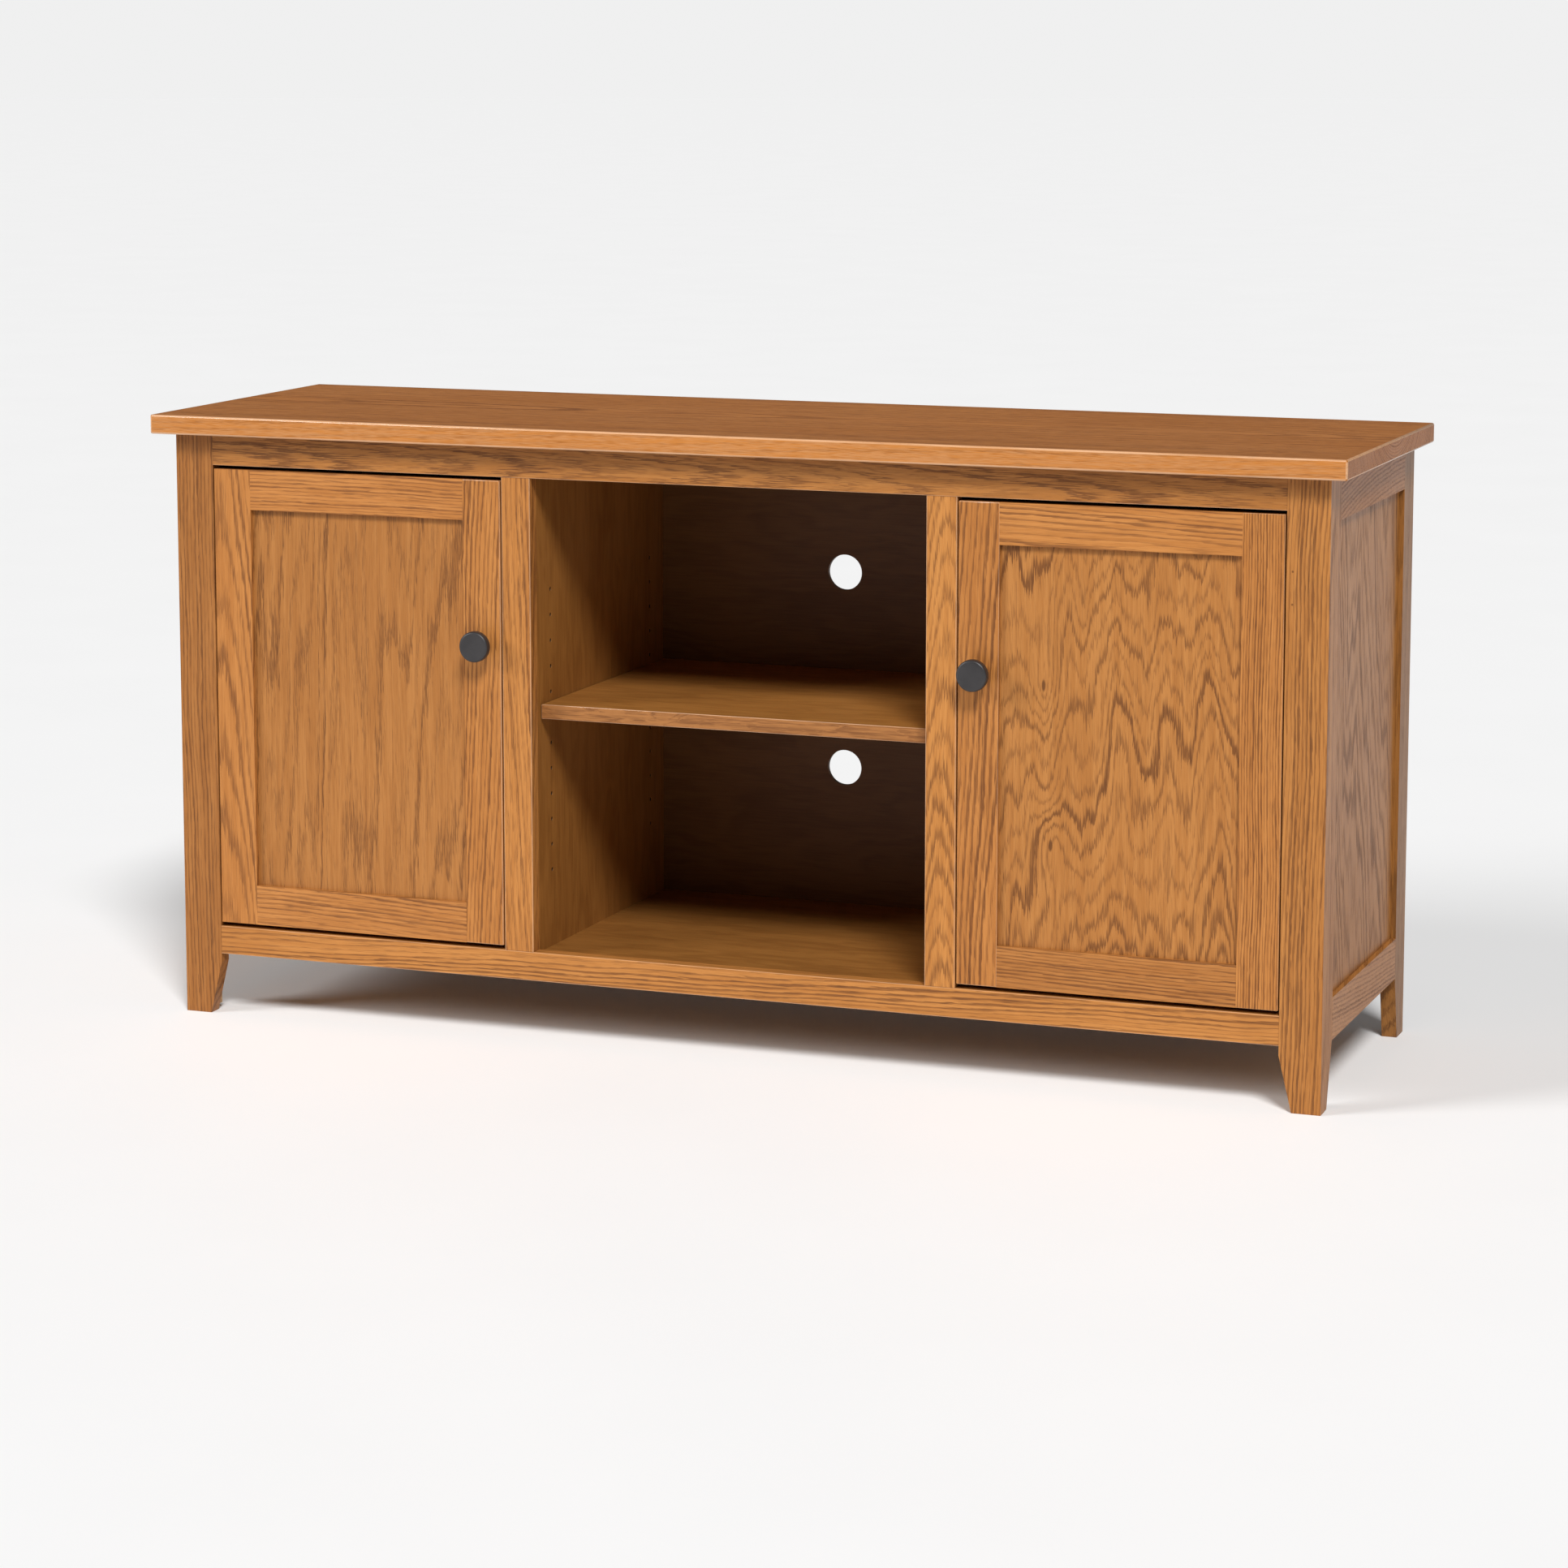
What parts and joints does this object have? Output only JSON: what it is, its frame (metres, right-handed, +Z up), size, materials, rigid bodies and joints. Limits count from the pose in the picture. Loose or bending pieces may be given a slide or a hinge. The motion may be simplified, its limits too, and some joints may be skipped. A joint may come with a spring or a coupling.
{
  "type": "media cabinet",
  "caption": "Low oak media cabinet on tapered feet: flat-panel doors with round knobs either side of an open bay with a shelf and rear cable holes.",
  "frame": {"origin": "bottom centre of the whole cabinet: on the floor, centred between the ends of the top, and midway between the front of the knobs and the back edge of the top", "axes": "+X to the right as seen from the front, +Y towards the back, +Z up"},
  "size_m": [1.524, 0.467, 0.765],
  "materials": {
    "top_oak": "stained and lacquered red oak, satin",
    "frame_oak": "stained and lacquered red oak, satin",
    "panel_oak": "flat-sawn stained red oak, satin",
    "cabinet_ply": "stained plywood with a smooth veneer, satin",
    "cleat_wood": "plain sawn softwood, unfinished",
    "knob_graphite": "dark graphite, satin",
    "zinc_steel": "zinc or nickel plated steel",
    "catch_plastic": "moulded white plastic, matte",
    "magnet_ferrite": "ground ferrite, matte"
  },
  "bodies": {
    "case": {"top_panel": "top_oak", "left_face_stile": "frame_oak", "right_face_stile": "frame_oak", "left_centre_stile": "frame_oak", "right_centre_stile": "frame_oak", "face_top_rail": "frame_oak", "face_bottom_rail": "frame_oak", "left_side_front_stile": "frame_oak", "left_side_back_stile": "frame_oak", "left_side_top_rail": "frame_oak", "left_side_bottom_rail": "frame_oak", "left_side_panel": "panel_oak", "right_side_front_stile": "frame_oak", "right_side_back_stile": "frame_oak", "right_side_top_rail": "frame_oak", "right_side_bottom_rail": "frame_oak", "right_side_panel": "panel_oak", "left_divider": "cabinet_ply", "right_divider": "cabinet_ply", "floor_panel": "cabinet_ply", "back_panel": "cabinet_ply", "front_stretcher": "cabinet_ply", "back_stretcher": "cabinet_ply", "floor_cleats": "cleat_wood", "foot_blocks": "cleat_wood", "top_screws": "zinc_steel", "back_panel_screws": "zinc_steel", "left_shelf": "cabinet_ply", "right_shelf": "cabinet_ply", "shelf_cleats": "cleat_wood", "centre_shelf_supports": "zinc_steel", "left_hinge_arms": "zinc_steel", "right_hinge_arms": "zinc_steel", "hinge_arm_screws": "zinc_steel", "magnetic_catches": "catch_plastic", "catch_magnets": "magnet_ferrite", "catch_screws": "zinc_steel"},
    "left_door": {"left_door_hinge_stile": "frame_oak", "left_door_lock_stile": "frame_oak", "left_door_top_rail": "frame_oak", "left_door_bottom_rail": "frame_oak", "left_door_panel": "panel_oak", "left_door_knob": "knob_graphite", "left_door_knob_screw": "zinc_steel", "left_door_hinge_cups": "zinc_steel", "left_door_hinge_pins": "zinc_steel", "left_door_cup_screws": "zinc_steel", "left_door_strike_plate": "zinc_steel"},
    "right_door": {"right_door_hinge_stile": "frame_oak", "right_door_lock_stile": "frame_oak", "right_door_top_rail": "frame_oak", "right_door_bottom_rail": "frame_oak", "right_door_panel": "panel_oak", "right_door_knob": "knob_graphite", "right_door_knob_screw": "zinc_steel", "right_door_hinge_cups": "zinc_steel", "right_door_hinge_pins": "zinc_steel", "right_door_cup_screws": "zinc_steel", "right_door_strike_plate": "zinc_steel"},
    "centre_shelf": {"centre_shelf": "cabinet_ply"}
  },
  "joints": [
    {"name": "left_door_hinge", "type": "hinge", "parent": "case", "child": "left_door", "pos_m": [-0.6617, -0.1965, 0.4085], "axis": [0, 0, -1], "range_deg": [0, 100]},
    {"name": "right_door_hinge", "type": "hinge", "parent": "case", "child": "right_door", "pos_m": [0.6617, -0.1965, 0.4085], "axis": [0, 0, 1], "range_deg": [0, 100]},
    {"name": "centre_shelf_slide", "type": "slide", "parent": "case", "child": "centre_shelf", "axis": [0, -1, 0], "range_m": [0, 0.15]}
  ]
}
